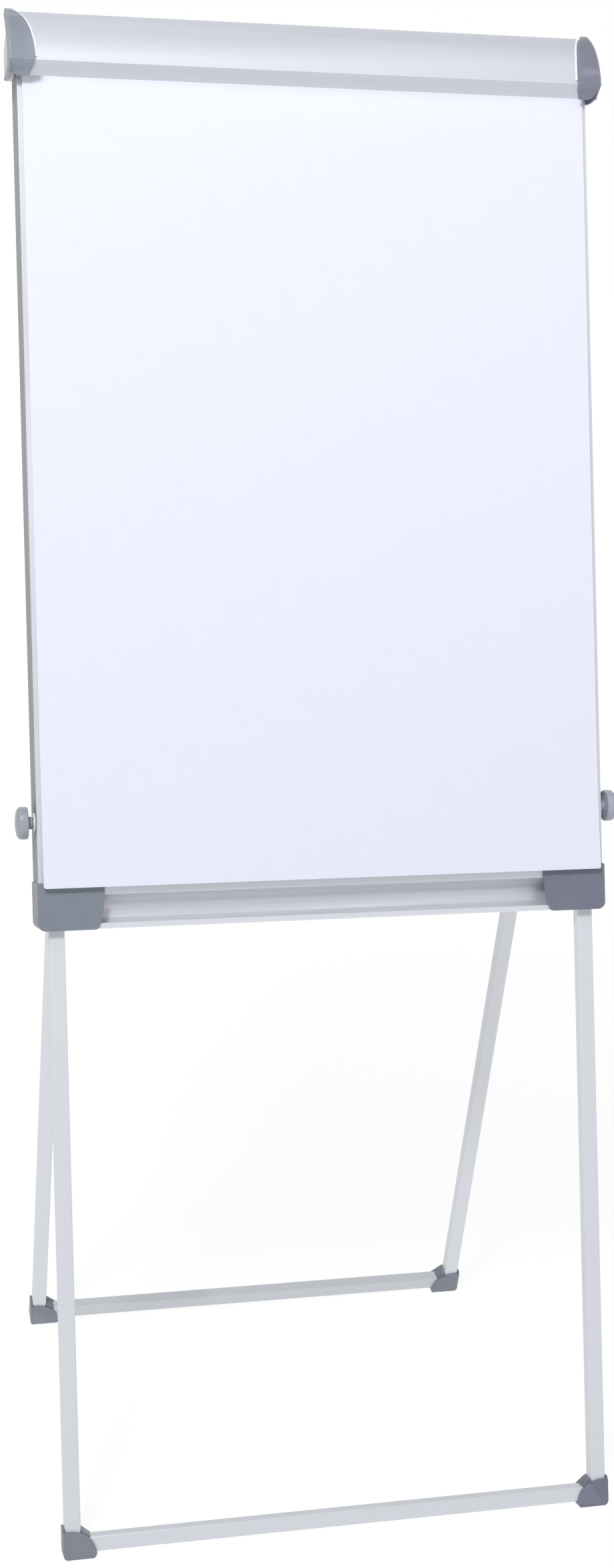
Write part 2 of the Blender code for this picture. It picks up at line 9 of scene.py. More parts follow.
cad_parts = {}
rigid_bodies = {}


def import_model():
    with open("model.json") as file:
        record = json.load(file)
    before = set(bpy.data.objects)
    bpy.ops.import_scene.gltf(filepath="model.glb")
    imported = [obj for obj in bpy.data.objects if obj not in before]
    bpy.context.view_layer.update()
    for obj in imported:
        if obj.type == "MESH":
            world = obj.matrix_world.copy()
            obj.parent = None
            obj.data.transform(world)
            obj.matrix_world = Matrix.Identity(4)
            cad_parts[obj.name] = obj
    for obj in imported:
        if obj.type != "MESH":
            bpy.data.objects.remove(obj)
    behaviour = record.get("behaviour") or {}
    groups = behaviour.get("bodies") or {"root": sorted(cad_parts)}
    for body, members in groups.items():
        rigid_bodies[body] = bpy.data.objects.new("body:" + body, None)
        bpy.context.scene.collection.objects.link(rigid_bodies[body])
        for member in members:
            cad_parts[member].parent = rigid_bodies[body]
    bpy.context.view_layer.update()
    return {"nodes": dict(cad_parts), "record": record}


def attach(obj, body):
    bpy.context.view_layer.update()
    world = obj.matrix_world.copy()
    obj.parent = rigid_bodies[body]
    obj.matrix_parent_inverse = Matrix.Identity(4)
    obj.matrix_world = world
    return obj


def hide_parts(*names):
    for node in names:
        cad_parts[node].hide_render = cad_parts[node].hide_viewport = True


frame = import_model()
NODES = frame["nodes"]

MM = 0.001
LEAN_F, LEAN_R = math.radians(14.0), math.radians(15.4)
SPREAD, ORIGIN_Y = 562.8, 290.0
FRAME_F = Matrix.Translation((0, -ORIGIN_Y * MM, 0)) @ Matrix.Rotation(-LEAN_F, 4, "X")
FRAME_R = (Matrix.Translation((0, (SPREAD - ORIGIN_Y) * MM, 0))
           @ Matrix.Rotation(LEAN_R, 4, "X"))


def front(x, d, s):
    """x across, d out of the board, s up the legs, in mm, to the row frame."""
    return FRAME_F @ Vector((x * MM, -d * MM, s * MM))


# ------------------------------------------------------------------ camera
def make_camera():
    yaw, pitch, roll = (math.radians(a) for a in (12.4686, -14.5384, 1.5405))
    fwd = Vector((math.sin(yaw) * math.cos(pitch),
                  math.cos(yaw) * math.cos(pitch), math.sin(pitch)))
    right0 = Vector((math.cos(yaw), -math.sin(yaw), 0))
    up0 = right0.cross(fwd)
    right = right0 * math.cos(roll) + up0 * math.sin(roll)
    up = up0 * math.cos(roll) - right0 * math.sin(roll)
    cam = bpy.data.objects.new("camera", bpy.data.cameras.new("camera"))
    bpy.context.scene.collection.objects.link(cam)
    m = Matrix((right, up, -fwd)).transposed().to_4x4()
    m.translation = Vector((-0.602808, -2.448388, 1.490068))
    cam.matrix_world = m
    cam.data.sensor_width = 36.0
    cam.data.sensor_fit = "AUTO"
    cam.data.lens = 3173.0 / 2351 * 36.0
    cam.data.shift_x = (460.0 - 390.76) / 2351
    cam.data.shift_y = (1191.8518 - 1175.5) / 2351
    cam.data.clip_start, cam.data.clip_end = 0.05, 200.0
    bpy.context.scene.camera = cam


make_camera()


# ------------------------------------------------------------------ materials
class Nodes:
    """A material and short calls for its nodes."""

    def __init__(self, name):
        self.mat = bpy.data.materials.new(name)
        self.mat.use_nodes = True
        self.nt = self.mat.node_tree
        self.bsdf = self.nt.nodes["Principled BSDF"]
        self.coord = self.nt.nodes.new("ShaderNodeTexCoord").outputs["Object"]

    def link(self, a, b):
        self.nt.links.new(a, b)

    def mapped(self, scale=(1, 1, 1), lean=0.0):
        """Object coordinates, first turned upright about X, then scaled."""
        src = self.coord
        if lean:
            r = self.nt.nodes.new("ShaderNodeMapping")
            r.inputs["Rotation"].default_value = (lean, 0, 0)
            self.link(src, r.inputs["Vector"])
            src = r.outputs["Vector"]
        m = self.nt.nodes.new("ShaderNodeMapping")
        m.inputs["Scale"].default_value = scale
        self.link(src, m.inputs["Vector"])
        return m.outputs["Vector"]

    def noise(self, vec, scale, detail=3.0, rough=0.5):
        n = self.nt.nodes.new("ShaderNodeTexNoise")
        n.inputs["Scale"].default_value = scale
        n.inputs["Detail"].default_value = detail
        n.inputs["Roughness"].default_value = rough
        self.link(vec, n.inputs["Vector"])
        return n.outputs["Fac"]

    def voronoi(self, vec, scale):
        n = self.nt.nodes.new("ShaderNodeTexVoronoi")
        n.inputs["Scale"].default_value = scale
        self.link(vec, n.inputs["Vector"])
        return n.outputs["Distance"]

    def remap(self, fac, a0, a1, b0, b1):
        n = self.nt.nodes.new("ShaderNodeMapRange")
        for k, v in zip(("From Min", "From Max", "To Min", "To Max"), (a0, a1, b0, b1)):
            n.inputs[k].default_value = v
        self.link(fac, n.inputs["Value"])
        return n.outputs["Result"]

    def math(self, op, a, b):
        n = self.nt.nodes.new("ShaderNodeMath")
        n.operation = op
        for i, v in enumerate((a, b)):
            if isinstance(v, (int, float)):
                n.inputs[i].default_value = v
            else:
                self.link(v, n.inputs[i])
        return n.outputs[0]

    def mix(self, fac, a, b, how="MIX"):
        n = self.nt.nodes.new("ShaderNodeMix")
        n.data_type = "RGBA"
        n.blend_type = how
        if isinstance(fac, (int, float)):
            n.inputs["Factor"].default_value = fac
        else:
            self.link(fac, n.inputs["Factor"])
        for key, v in (("A", a), ("B", b)):
            sock = [i for i in n.inputs if i.name == key and i.type == "RGBA"][0]
            if isinstance(v, tuple):
                sock.default_value = (*v, 1.0)
            else:
                self.link(v, sock)
        return [o for o in n.outputs if o.type == "RGBA"][0]

    def wave(self, vec, scale, direction="X", distortion=0.0):
        n = self.nt.nodes.new("ShaderNodeTexWave")
        n.bands_direction = direction
        n.inputs["Scale"].default_value = scale
        n.inputs["Distortion"].default_value = distortion
        self.link(vec, n.inputs["Vector"])
        return n.outputs["Fac"]

    def edges(self, lo=0.50, hi=0.56):
        """0 on flats to 1 on worn convex edges."""
        g = self.nt.nodes.new("ShaderNodeNewGeometry")
        return self.remap(g.outputs["Pointiness"], lo, hi, 0.0, 1.0)

    def bump(self, height, strength, dist, under=None):
        b = self.nt.nodes.new("ShaderNodeBump")
        b.inputs["Strength"].default_value = strength
        b.inputs["Distance"].default_value = dist
        self.link(height, b.inputs["Height"])
        if under is not None:
            self.link(under, b.inputs["Normal"])
        return b.outputs["Normal"]

    def done(self, color=None, rough=None, normal=None, **consts):
        if color is not None:
            self.link(color, self.bsdf.inputs["Base Color"])
        if rough is not None:
            self.link(rough, self.bsdf.inputs["Roughness"])
        if normal is not None:
            self.link(normal, self.bsdf.inputs["Normal"])
        for k, v in consts.items():
            self.bsdf.inputs[k.replace("_", " ")].default_value = v
        return self.mat


def tint(c, k):
    return tuple(min(1.0, v * k) for v in c)


def painted(name, color, lean=0.0):
    """Silver powder coat: fine sparkle, faint cloudiness, orange peel."""
    n = Nodes(name)
    spark = n.remap(n.voronoi(n.mapped((1, 1, 1)), 1400), 0.0, 0.7, 0.0, 1.0)
    cloud = n.remap(n.noise(n.mapped((1, 1, 0.25), lean), 26, 4), 0.3, 0.7, 0.0, 1.0)
    col = n.mix(spark, tint(color, 1.07), tint(color, 0.95))
    col = n.mix(cloud, col, n.mix(0.5, col, tint(color, 0.96)))
    col = n.mix(n.math("MULTIPLY", n.edges(), 0.35), col, tint(color, 1.22))
    rough = n.remap(n.noise(n.mapped(), 90, 3), 0.3, 0.7, 0.34, 0.44)
    peel = n.bump(n.noise(n.mapped(), 420, 2), 0.16, 0.0004)
    return n.done(col, rough, n.bump(spark, 0.05, 0.0001, peel),
                  Metallic=0.15, Coat_Weight=0.12, Coat_Roughness=0.25)


def aluminium(name, color, along="X", lean=LEAN_F, metal=0.55, rough=(0.30, 0.42),
              streak=1.0, spec=0.5):
    """Satin anodised extrusion: fine drawn lines along its length."""
    n = Nodes(name)
    fine = (1.5, 900, 900) if along == "X" else (900, 900, 1.5)
    wide = (0.8, 120, 120) if along == "X" else (120, 120, 0.8)
    lines = n.noise(n.mapped(fine, lean), 1.0, 2, 0.6)
    bands = n.noise(n.mapped(wide, lean), 1.0, 3, 0.6)
    grain = n.noise(n.mapped(), 1100, 2)
    col = n.mix(n.remap(lines, 0.3, 0.7, 0.0, 1.0), tint(color, 1 - 0.035 * streak),
                tint(color, 1 + 0.035 * streak))
    col = n.mix(n.remap(bands, 0.35, 0.65, 0.0, 0.45), col, tint(color, 1 - 0.05 * streak))
    col = n.mix(n.math("MULTIPLY", n.edges(), 0.4), col, tint(color, 1.25))
    r = n.remap(n.math("ADD", n.math("MULTIPLY", lines, 0.6), n.math("MULTIPLY", grain, 0.4)),
                0.3, 0.7, *rough)
    nrm = n.bump(lines, 0.10 * streak, 0.0002, n.bump(grain, 0.06, 0.0001))
    return n.done(col, r, nrm, Metallic=metal, Anisotropic=0.35,
                  Specular_IOR_Level=spec)


def plastic(name, color, rough=(0.36, 0.50), tex=0.16, spec=0.28):
    """Moulded plastic: spark-eroded grain, faint flow clouds, polished edges."""
    n = Nodes(name)
    grain = n.noise(n.mapped(), 1300, 2, 0.6)
    pits = n.voronoi(n.mapped(), 700)
    flow = n.noise(n.mapped((1, 1, 0.4)), 34, 4)
    col = n.mix(n.remap(flow, 0.3, 0.7, 0.0, 1.0), tint(color, 0.94), tint(color, 1.06))
    col = n.mix(n.remap(grain, 0.35, 0.65, 0.0, 0.35), col, tint(color, 0.86))
    col = n.mix(n.math("MULTIPLY", n.edges(0.505, 0.58), 0.5), col, tint(color, 1.55))
    r = n.remap(n.noise(n.mapped(), 160, 3), 0.3, 0.7, *rough)
    nrm = n.bump(grain, tex, 0.0003, n.bump(pits, tex * 0.5, 0.0002))
    return n.done(col, r, nrm, Specular_IOR_Level=spec)


def paper(name, color):
    """Uncoated flipchart paper: fibre mottle and a soft tooth."""
    n = Nodes(name)
    fibre = n.noise(n.mapped((1, 1, 1), LEAN_F), 420, 5, 0.7)
    mottle = n.noise(n.mapped((1, 1, 1), LEAN_F), 38, 4)
    cock = n.noise(n.mapped((1, 1, 0.6), LEAN_F), 3.2, 2)
    col = n.mix(n.remap(fibre, 0.3, 0.7, 0.0, 1.0), tint(color, 0.992), tint(color, 1.006))
    col = n.mix(n.remap(mottle, 0.3, 0.7, 0.0, 0.6), col, tint(color, 0.985))
    rough = n.remap(fibre, 0.3, 0.7, 0.78, 0.9)
    nrm = n.bump(fibre, 0.10, 0.0002, n.bump(cock, 0.05, 0.004))
    return n.done(col, rough, nrm, Sheen_Weight=0.08, Specular_IOR_Level=0.25)


def page_edges(name, color):
    """Cut edge of a stack of sheets: thin alternating lines through its depth."""
    n = Nodes(name)
    v = n.mapped((1, 1, 1), LEAN_F)
    lines = n.noise(n.mapped((30, 5200, 30), LEAN_F), 1.0, 1, 0.5)
    fuzz = n.noise(v, 900, 2)
    col = n.mix(n.remap(lines, 0.4, 0.6, 0.0, 1.0), tint(color, 0.80), color)
    col = n.mix(n.remap(fuzz, 0.4, 0.7, 0.0, 0.3), col, tint(color, 0.9))
    return n.done(col, n.remap(fuzz, 0.3, 0.7, 0.8, 0.95),
                  n.bump(lines, 0.35, 0.0003), Specular_IOR_Level=0.2)


def enamel(name, color):
    """White enamelled sheet: glossy with faint wipe marks."""
    n = Nodes(name)
    wipe = n.noise(n.mapped((9, 9, 40), LEAN_F), 1.0, 4, 0.6)
    dust = n.voronoi(n.mapped(), 240)
    col = n.mix(n.remap(wipe, 0.4, 0.7, 0.0, 0.5), color, tint(color, 0.965))
    return n.done(col, n.remap(wipe, 0.3, 0.7, 0.12, 0.22),
                  n.bump(dust, 0.02, 0.0002), Coat_Weight=0.4, Coat_Roughness=0.06)


def zinc(name, color):
    """Bright zinc plate with turning marks and small spangles."""
    n = Nodes(name)
    span = n.voronoi(n.mapped(), 520)
    turn = n.noise(n.mapped((2600, 30, 30)), 1.0, 2)
    col = n.mix(n.remap(span, 0.0, 0.7, 0.0, 1.0), tint(color, 0.88), tint(color, 1.08))
    col = n.mix(n.math("MULTIPLY", n.edges(), 0.5), col, tint(color, 1.3))
    r = n.remap(span, 0.0, 0.7, 0.24, 0.40)
    return n.done(col, r, n.bump(turn, 0.12, 0.0002), Metallic=1.0)


def rubber(name, color):
    n = Nodes(name)
    g = n.noise(n.mapped(), 700, 3, 0.6)
    w = n.noise(n.mapped((0.6, 300, 300), LEAN_F), 1.0, 2)
    col = n.mix(n.remap(g, 0.3, 0.7, 0.0, 1.0), tint(color, 0.8), tint(color, 1.3))
    return n.done(col, n.remap(g, 0.3, 0.7, 0.6, 0.8), n.bump(w, 0.2, 0.0003))


def fibre_board(name, color):
    n = Nodes(name)
    f = n.noise(n.mapped((60, 60, 700), LEAN_F), 1.0, 4, 0.7)
    s = n.voronoi(n.mapped(), 380)
    col = n.mix(n.remap(f, 0.3, 0.7, 0.0, 1.0), tint(color, 0.75), tint(color, 1.15))
    col = n.mix(n.remap(s, 0.0, 0.5, 0.4, 0.0), col, tint(color, 0.6))
    return n.done(col, n.remap(f, 0.3, 0.7, 0.8, 0.95), n.bump(f, 0.4, 0.0005))


SILVER_F = painted("silver_front_tube", (0.635, 0.66, 0.70), LEAN_F)
# lighter copy of the silver powder coat for the rear legs: painted light
SILVER_REAR_PAINTED_LIGHT = painted("silver_rear_tube_painted_light", (0.67, 0.69, 0.73), -LEAN_R)
# darker copy of the silver powder coat for the rear crossbar: painted shade
SILVER_REAR_BAR_PAINTED_SHADE = painted("silver_rear_bar_painted_shade", (0.555, 0.575, 0.61), -LEAN_R)
SHEET = painted("coated_back_sheet", (0.60, 0.62, 0.645), LEAN_F)
ALU_X = aluminium("satin_aluminium_across", (0.665, 0.685, 0.73), "X", metal=0.45)
ALU_BAR = aluminium("satin_aluminium_bar", (0.545, 0.565, 0.615), "X", metal=0.25,
                    rough=(0.42, 0.52), streak=0.4)
ALU_S = aluminium("satin_aluminium_upright", (0.62, 0.64, 0.68), "Z", metal=0.45)
# darker copy of the upright aluminium for the profiles' outward side faces: painted shade
ALU_SIDE_PAINTED_SHADE = aluminium("satin_aluminium_side_painted_shade", (0.36, 0.355, 0.375), "Z", metal=0.0,
                     rough=(0.58, 0.68), spec=0.08)
GREY = plastic("grey_moulded", (0.192, 0.218, 0.258))
# darker copies of the grey plastic for the right-hand tray cap, front foot and clamp cap:
# painted shade
GREY_PAINTED_SHADE = plastic("grey_moulded_painted_shade", (0.165, 0.170, 0.220))
GREY_CLAMP = plastic("grey_clamp_end", (0.246, 0.271, 0.316), (0.30, 0.42))
GREY_CLAMP_PAINTED_SHADE = plastic("grey_clamp_end_painted_shade", (0.208, 0.214, 0.268), (0.30, 0.42))
GREY_KNOB = plastic("grey_knob", (0.315, 0.340, 0.385), (0.26, 0.38), 0.08, 0.45)
# lighter copy of the knob plastic for the right knob, which sits in the board's shade:
# painted light
GREY_KNOB_PAINTED_LIGHT = plastic("grey_knob_painted_light", (0.38, 0.40, 0.465), (0.26, 0.38), 0.08)
GREY_FOOT = plastic("grey_foot", (0.205, 0.222, 0.262))
LIGHT = plastic("pale_moulded", (0.62, 0.62, 0.65), (0.34, 0.46), 0.10)
WHITE = enamel("white_enamel", (0.84, 0.85, 0.87))
PAPER = paper("pad_paper", (0.765, 0.780, 0.890))
EDGES = page_edges("pad_page_edges", (0.90, 0.91, 0.97))
CARD = paper("pad_header_card", (0.60, 0.63, 0.70))
CORE = fibre_board("fibre_core", (0.36, 0.27, 0.17))
ZINC = zinc("zinc_plate", (0.60, 0.61, 0.62))
RUBBER = rubber("black_rubber", (0.02, 0.02, 0.022))


# ------------------------------------------------------------------ pieces
COL = bpy.data.collections.new("pieces")
bpy.context.scene.collection.children.link(COL)
BODY_OF = {n: b for b, ns in frame["record"]["behaviour"]["bodies"].items() for n in ns}


def new_piece(me, name, mats, smooth=35.0):
    ob = bpy.data.objects.new(name, me)
    COL.objects.link(ob)
    me.materials.clear()
    for m in mats:
        me.materials.append(m)
    me.shade_smooth()
    me.set_sharp_from_angle(angle=math.radians(smooth))
    return ob


def detail(node, mat, bevel=0.5, seg=2, angle=28.0, smooth=40.0, name=None):
    """A finished copy of a CAD part: flat faces joined, edges eased."""
    bm = bmesh.new()
    bm.from_mesh(NODES[node].data)
    bmesh.ops.remove_doubles(bm, verts=bm.verts, dist=2e-6)
    bmesh.ops.dissolve_limit(bm, angle_limit=math.radians(0.6), verts=bm.verts,
                             edges=bm.edges)
    bmesh.ops.recalc_face_normals(bm, faces=bm.faces)
    me = bpy.data.meshes.new(name or node + "_finished")
    bm.to_mesh(me)
    bm.free()
    ob = new_piece(me, name or node + "_finished", [mat], smooth)
    if bevel:
        b = ob.modifiers.new("eased", "BEVEL")
        b.width = bevel * MM
        b.segments = seg
        b.limit_method = "ANGLE"
        b.angle_limit = math.radians(angle)
        b.use_clamp_overlap = True
        b.harden_normals = True
        w = ob.modifiers.new("normals", "WEIGHTED_NORMAL")
        w.keep_sharp = True
    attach(ob, BODY_OF[node])
    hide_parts(node)
    return ob


def dress(node, mat):
    """A CAD node whose shape is right keeps it and gets a finished material."""
    me = NODES[node].data
    if me.materials:
        for i in range(len(me.materials)):
            me.materials[i] = mat
    else:
        me.materials.append(mat)


def lathe(name, profile, steps, mat, at, side):
    """Turned piece: profile is (radius, distance along the axis) in mm."""
    bm = bmesh.new()
    rings = []
    for r, a in profile:
        if r < 1e-6:
            rings.append([bm.verts.new((0, 0, a * MM))])
        else:
            rings.append([bm.verts.new((r * MM * math.cos(2 * math.pi * i / steps),
                                        r * MM * math.sin(2 * math.pi * i / steps),
                                        a * MM)) for i in range(steps)])
    for p, q in zip(rings, rings[1:]):
        for i in range(steps):
            j = (i + 1) % steps
            if len(p) == 1:
                bm.faces.new((p[0], q[i], q[j]))
            elif len(q) == 1:
                bm.faces.new((p[i], q[0], p[j]))
            else:
                bm.faces.new((p[i], q[i], q[j], p[j]))
    bmesh.ops.recalc_face_normals(bm, faces=bm.faces)
    me = bpy.data.meshes.new(name)
    bm.to_mesh(me)
    bm.free()
    me.transform(Matrix.Translation(at) @ FRAME_F.to_3x3().to_4x4()
                 @ Matrix.Rotation(side * math.pi / 2, 4, "Y"))
    return new_piece(me, name, [mat], 30.0)


def round_profile(points, radii, n=5):
    """Corner points of an open profile, each eased by its radius."""
    out = []
    for i, (p, r) in enumerate(zip(points, radii)):
        if i in (0, len(points) - 1) or r <= 0:
            out.append(p)
            continue
        p, a, b = Vector(p), Vector(points[i - 1]), Vector(points[i + 1])
        u, v = (a - p).normalized(), (b - p).normalized()
        r = min(r, (a - p).length * 0.48, (b - p).length * 0.48)
        s0, s1 = p + u * r, p + v * r
        for k in range(n + 1):
            t = k / n
            q = s0 * (1 - t) ** 2 + p * 2 * t * (1 - t) + s1 * t * t
            out.append((q.x, q.y))
    return out


KNOB_PTS = [(0, 360.2), (3.95, 360.2), (3.95, 349.4), (7.4, 349.4), (7.4, 354.4),
            (13.2, 354.4), (13.2, 355.2), (15.0, 355.2), (15.0, 354.4), (17.6, 354.4),
            (19.1, 355.6), (19.1, 362.2), (18.2, 365.1), (15.4, 366.9),
            (14.6, 366.5), (13.4, 367.6), (8.0, 368.7), (0, 369.1)]
KNOB_RAD = [0, 0.2, 0.3, 0.3, 0.6, 0.2, 0.2, 0.2, 0.2, 0.8, 0.9, 1.6, 1.6, 0.5,
            0.3, 0.8, 3.0, 0]


def sag(s, s0, amount, power):
    return amount * max(0.0, (s0 - s) / 165.0) ** power


def pad_front(s):
    return 13.0 + sag(s, 950.0, 5.3, 2.1)


def pad_back(s):
    return 8.85 + sag(s, 930.0, 5.8, 2.8)


def slab(name, half, s0, s1, front_of, back_of, corner, mats, ripple=0.0, seed=0.0,
         holes=True):
    """Closed thin block over the board: two curved faces and a cut edge."""
    ts = [-1, -0.997, -0.985, -0.95, -0.88, -0.76, -0.6, -0.45, -0.3, -0.15, 0,
          0.15, 0.3, 0.45, 0.6, 0.76, 0.88, 0.95, 0.985, 0.997, 1]
    rows = [s0 + corner * (1 - math.cos(math.pi / 2 * k / 5)) for k in range(6)]
    rows = sorted(set(rows) | {s for s in
                  [795, 810, 825, 840, 860, 880, 905, 930, 950, 1000, 1100, 1250,
                   1400, 1550, 1650] if s0 + corner < s < s1} | {s1})
    bm = bmesh.new()
    grids = []
    for which, fn in enumerate((front_of, back_of)):
        grid = []
        for s in rows:
            h = half
            if corner and s < s0 + corner:
                h = half - corner + math.sqrt(max(0.0, corner ** 2
                                                  - (corner - (s - s0)) ** 2))
            line = []
            for t in ts:
                x = t * h
                low = max(0.0, (950 - s) / 165.0)
                w = ripple * low * noise.noise(Vector((x * 0.006, s * 0.01, seed)))
                edge = ripple * 0.35 * low ** 2 * abs(t) ** 6
                line.append(bm.verts.new(front_mm(x, fn(s) + w - edge, s)))
            grid.append(line)
        grids.append(grid)
    f, k = grids
    nr, nc = len(rows), len(ts)
    for i in range(nr - 1):
        for j in range(nc - 1):
            bm.faces.new((f[i][j], f[i][j + 1], f[i + 1][j + 1], f[i + 1][j]))
            bm.faces.new((k[i][j], k[i + 1][j], k[i + 1][j + 1], k[i][j + 1]))
    rim = ([(0, j) for j in range(nc)] + [(i, nc - 1) for i in range(1, nr)]
           + [(nr - 1, j) for j in range(nc - 2, -1, -1)]
           + [(i, 0) for i in range(nr - 2, 0, -1)])
    for (a, b), (c, d) in zip(rim, rim[1:] + rim[:1]):
        q = bm.faces.new((f[a][b], k[a][b], k[c][d], f[c][d]))
        q.material_index = 1
    bmesh.ops.recalc_face_normals(bm, faces=bm.faces)
    me = bpy.data.meshes.new(name)
    bm.to_mesh(me)
    bm.free()
    ob = new_piece(me, name, mats, 45.0)
    if holes:
        punch(ob)
    return ob


def front_mm(x, d, s):
    return front(x, d, s)


def punch(ob):
    """Two round holes for the pad hooks, cut through the mesh."""
    tools = []
    for x in (-140.0, 140.0):
        bm = bmesh.new()
        bmesh.ops.create_cone(bm, cap_ends=True, segments=36, radius1=4.6 * MM,
                              radius2=4.6 * MM, depth=40 * MM)
        me = bpy.data.meshes.new("punch")
        bm.to_mesh(me)
        bm.free()
        me.transform(FRAME_F @ Matrix.Translation((x * MM, -12 * MM, 1750 * MM))
                     @ Matrix.Rotation(math.pi / 2, 4, "X"))
        t = bpy.data.objects.new("punch", me)
        COL.objects.link(t)
        tools.append(t)
        m = ob.modifiers.new("hole", "BOOLEAN")
        m.operation, m.solver, m.object = "DIFFERENCE", "EXACT", t
    bpy.context.view_layer.update()
    dg = bpy.context.evaluated_depsgraph_get()
    done = bpy.data.meshes.new_from_object(ob.evaluated_get(dg))
    ob.modifiers.clear()
    ob.data = done
    for t in tools:
        bpy.data.objects.remove(t)


def belongs(ob, node, replaces=True):
    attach(ob, BODY_OF[node])
    if replaces:
        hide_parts(node)
    return ob


for side, sx in (("left", -1), ("right", 1)):
    # the right-hand caps and front foot take the darker grey copies: painted shade
    grey = GREY if sx < 0 else GREY_PAINTED_SHADE
    clamp = GREY_CLAMP if sx < 0 else GREY_CLAMP_PAINTED_SHADE
    detail("front_foot_" + side, GREY_FOOT if sx < 0 else GREY_PAINTED_SHADE, 0.6, 3)
    detail("rear_foot_" + side, GREY_FOOT, 0.6, 3)
    detail("tray_cap_" + side, grey, 1.2, 3)
    detail("clamp_cap_" + side, clamp, 0.4, 2)
    detail("top_rail_cap_" + side, LIGHT, 0.8, 3)
    detail("knob_collar_" + side, LIGHT, 0.4, 2)
    prof = detail("side_profile_" + side, ALU_S, 0.25, 2)
    prof.data.materials.append(ALU_SIDE_PAINTED_SHADE)
    # the outward side faces take the darker copy: painted shade
    for f in prof.data.polygons:
        if f.normal.x * sx > 0.98 and f.center.x * sx > 0.3452:
            f.material_index = 1
    # the right knob takes the lighter copy: painted light
    belongs(lathe("clamp_knob_%s_turned" % side, round_profile(KNOB_PTS, KNOB_RAD), 96,
                  GREY_KNOB if sx < 0 else GREY_KNOB_PAINTED_LIGHT, front(0, -8.5, 861.0), sx),
            "clamp_knob_" + side)
    for n in ("front_leg_", "hinge_plate_"):
        dress(n + side, SILVER_F if n[0] == "f" else ZINC)
    dress("rear_leg_" + side, SILVER_REAR_PAINTED_LIGHT)
    dress("leg_glide_" + side, GREY_FOOT)
    dress("rear_leg_plug_" + side, GREY_FOOT)
    for n in ("clamp_stud_", "clamp_pivot_pin_", "pad_hook_", "pivot_bolt_",
              "hinge_stop_"):
        dress(n + side, ZINC)
    for lvl in ("lower", "upper"):
        dress("hinge_rivet_%s_%s" % (side, lvl), ZINC)
dress("front_crossbar", SILVER_F)
dress("rear_crossbar", SILVER_REAR_BAR_PAINTED_SHADE)
dress("board_back_sheet", SHEET)
dress("board_core", CORE)
dress("board_face_sheet", WHITE)
dress("rear_stiffener", ALU_X)
dress("clamp_strip", RUBBER)
detail("pen_tray", ALU_X, 0.25, 2)
detail("top_rail", ALU_X, 0.3, 2)
detail("clamp_bar", ALU_BAR, 0.3, 2)

# a raised lip on the bar follows the cut edge of each cap; its near-white colour is a painted
# highlight
BAR_T, BAR_K, BAR_SAG = (-4.6, 1799.6), (36.0, 1732.4), 9.0
CAP_CUT = [(346.4, 1802.0), (345.4, 1800.4), (341.2, 1795.0), (337.0, 1788.6),
           (333.4, 1780.5), (330.6, 1770), (328.3, 1758), (326.9, 1745), (326.4, 1735.6)]


def bar_depth(s):
    """d of the bar's face at height s, above the crease."""
    lo_t, hi_t = 0.0, 1.0
    for _ in range(40):
        t = (lo_t + hi_t) / 2
        b = 4 * BAR_SAG * t * (1 - t)
        if BAR_T[1] + t * (BAR_K[1] - BAR_T[1]) + b * 0.517 > s:
            lo_t = t
        else:
            hi_t = t
    b = 4 * BAR_SAG * t * (1 - t)
    return BAR_T[0] + t * (BAR_K[0] - BAR_T[0]) + b * 0.856


def cut_lip(side, sx):
    pts = []
    for (x0, s0), (x1, s1) in zip(CAP_CUT, CAP_CUT[1:]):
        for k in range(4):
            t = k / 4
            pts.append((x0 + (x1 - x0) * t, s0 + (s1 - s0) * t))
    pts.append(CAP_CUT[-1])
    pts = [(x, s) for x, s in pts if s < 1799.0]
    bm = bmesh.new()
    rows = []
    for i, (x, s) in enumerate(pts):
        a, b = pts[max(0, i - 1)], pts[min(len(pts) - 1, i + 1)]
        n = Vector((a[1] - b[1], b[0] - a[0])).normalized()
        if n.x > 0:
            n = -n
        row = []
        for off, up in ((0.15, -0.1), (0.35, 0.85), (0.9, 1.25), (1.7, 1.0), (2.3, 0.35),
                        (2.6, -0.1)):
            px, ps = x + n.x * off, s + n.y * off
            row.append(bm.verts.new(front(sx * px, bar_depth(ps) + up, ps)))
        rows.append(row)
    for p, q in zip(rows, rows[1:]):
        for i in range(6):
            j = (i + 1) % 6
            bm.faces.new((p[i], p[j], q[j], q[i]))
    bm.faces.new(rows[0])
    bm.faces.new(rows[-1][::-1])
    bmesh.ops.recalc_face_normals(bm, faces=bm.faces)
    me = bpy.data.meshes.new("bar_end_lip_" + side)
    bm.to_mesh(me)
    bm.free()
    return new_piece(me, "bar_end_lip_" + side, [LIP_PAINTED_HIGHLIGHT], 70.0)


# near-white plastic for the lip: painted highlight along the caps' cut edges
LIP_PAINTED_HIGHLIGHT = plastic("pale_lip_painted_highlight", (0.93, 0.93, 0.95), (0.25, 0.35), 0.04)
for side, sx in (("left", -1), ("right", 1)):
    belongs(cut_lip(side, sx), "clamp_bar", False)

# the pad: a block of sheets with a few loose front sheets and a card header
block = slab("pad_sheet_block", 340.0, 785.6, 1768.0,
             lambda s: pad_front(s) - 1.3, pad_back, 1.6, [PAPER, EDGES])
belongs(block, "paper_pad")
for i, (drop, back, thick) in enumerate(((785.9, 0.95, 0.3), (785.2, 0.50, 0.3),
                                         (785.0, 0.0, 0.4))):
    sheet = slab("pad_front_sheet_%d" % (i + 1), 339.9 - 0.25 * (2 - i), drop, 1768.0,
                 lambda s, b=back: pad_front(s) - b,
                 lambda s, b=back, t=thick: pad_front(s) - b - t,
                 2.4, [PAPER, EDGES], 0.25, 3.0 + i)
    belongs(sheet, "paper_pad", False)
header = slab("pad_header_card", 339.5, 1728.4, 1768.0, lambda s: 13.3,
              lambda s: 13.02, 0.0, [CARD, CARD])
belongs(header, "paper_pad", False)

